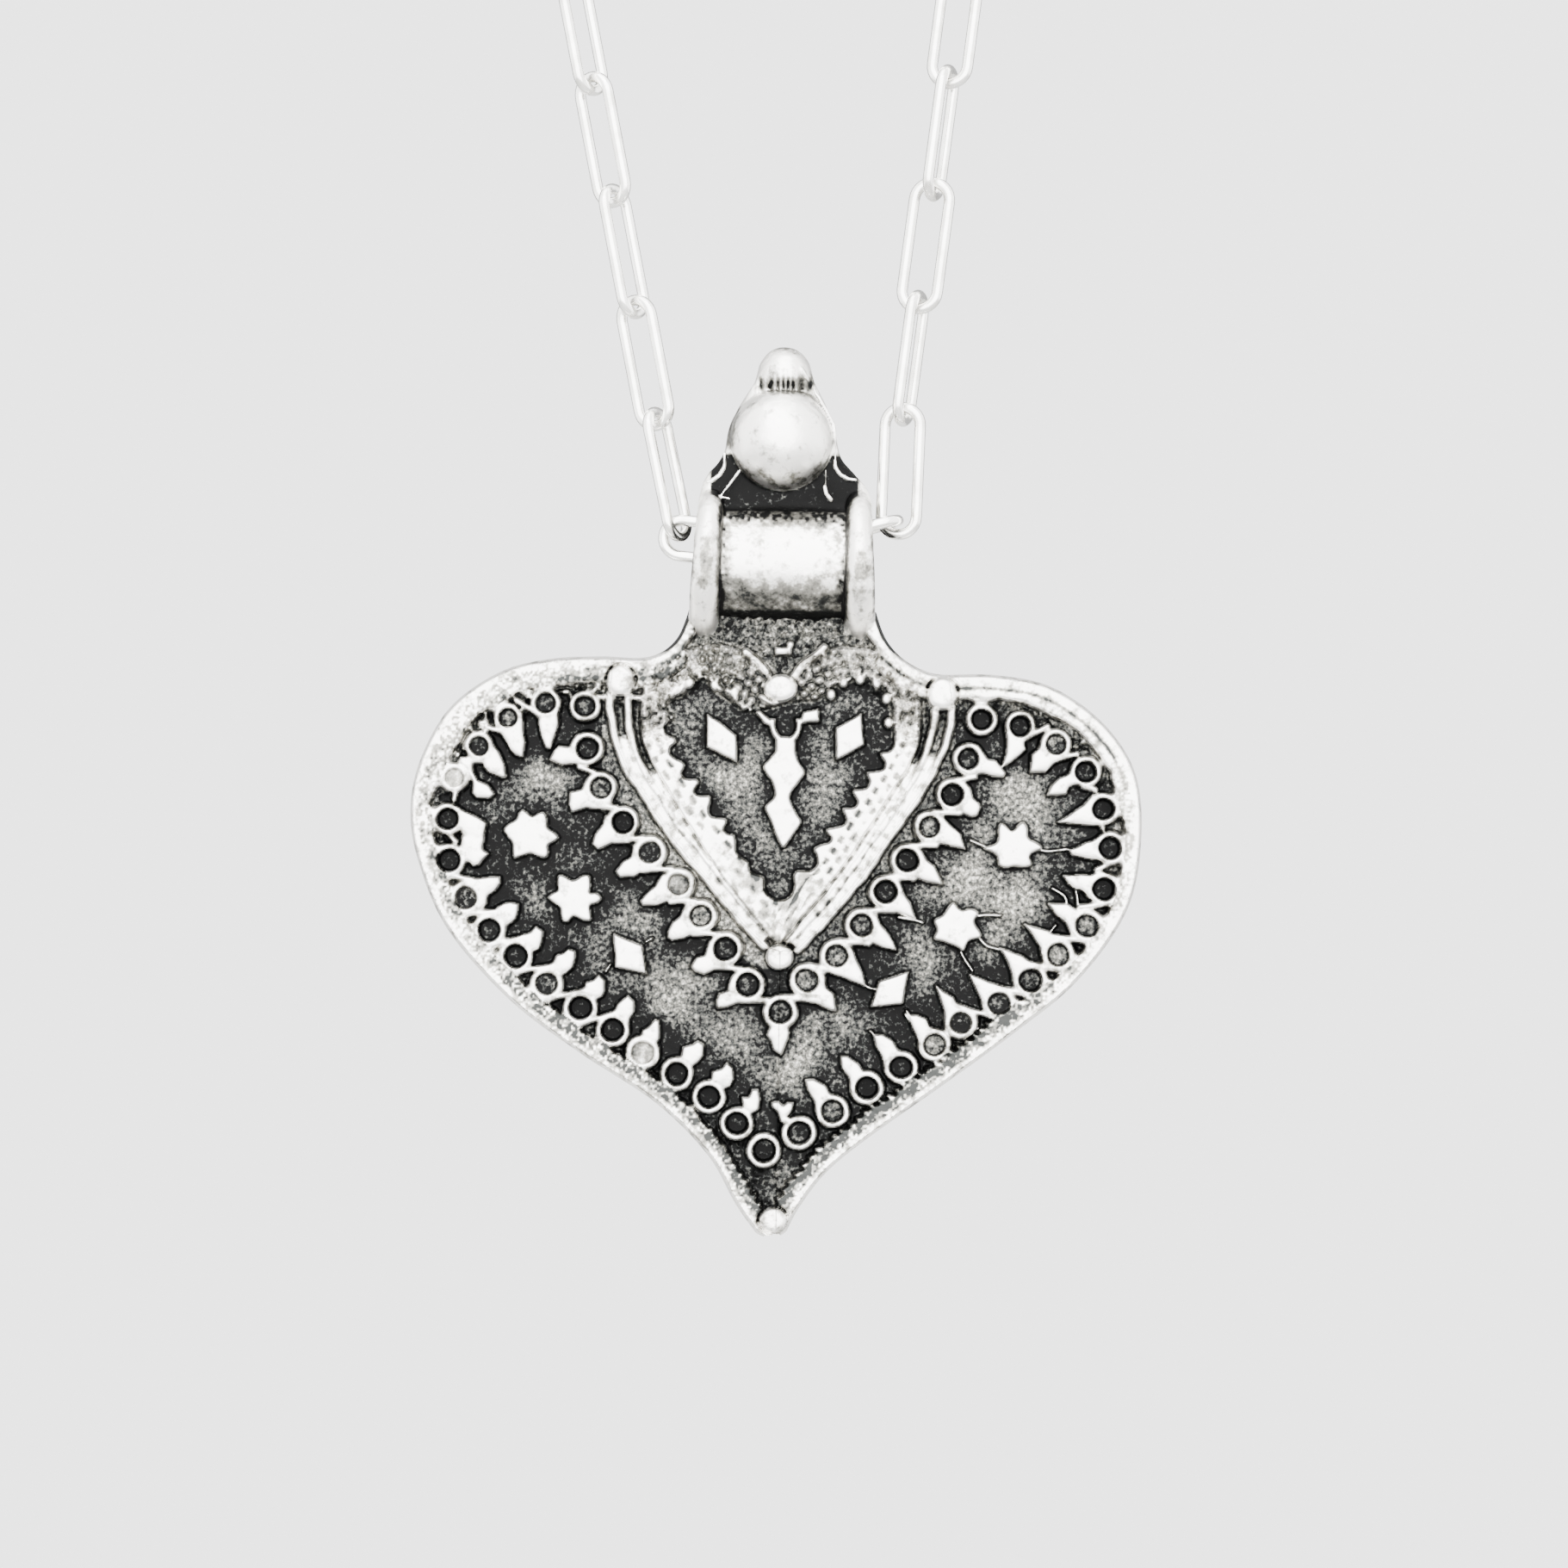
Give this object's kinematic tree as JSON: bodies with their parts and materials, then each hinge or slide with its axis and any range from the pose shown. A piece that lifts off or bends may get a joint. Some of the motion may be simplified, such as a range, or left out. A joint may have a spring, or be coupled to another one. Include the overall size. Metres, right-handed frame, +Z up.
{
  "type": "heart pendant necklace on an oval link chain",
  "caption": "Cast silver heart pendant with raised ring and star ornament and a tubular bail, hanging on a closed chain of long oval links with a ring clasp.",
  "frame": {"origin": "inside of the chain's top, where the necklace hangs on a peg or lies on a neck, straight above the bail", "axes": "+Z up, from the pendant's tip to the chain's top; +X to the right of a person who faces the pendant's front; the front faces -Y"},
  "size_m": [0.0679, 0.008, 0.2372],
  "materials": {
    "cast_silver": "oxidised cast silver with worn bright relief",
    "chain_silver": "bright drawn silver wire",
    "clasp_silver": "bright polished silver"
  },
  "bodies": {
    "chain": {"chain_left": "chain_silver", "chain_right": "chain_silver", "clasp": "clasp_silver"},
    "pendant": {"heart_pendant": "cast_silver"}
  },
  "joints": [
    {"name": "pendant_swing", "type": "hinge", "parent": "chain", "child": "pendant", "pos_m": [0, 0, -0.19775], "axis": [1, 0, 0], "range_deg": [-120, 120]}
  ]
}
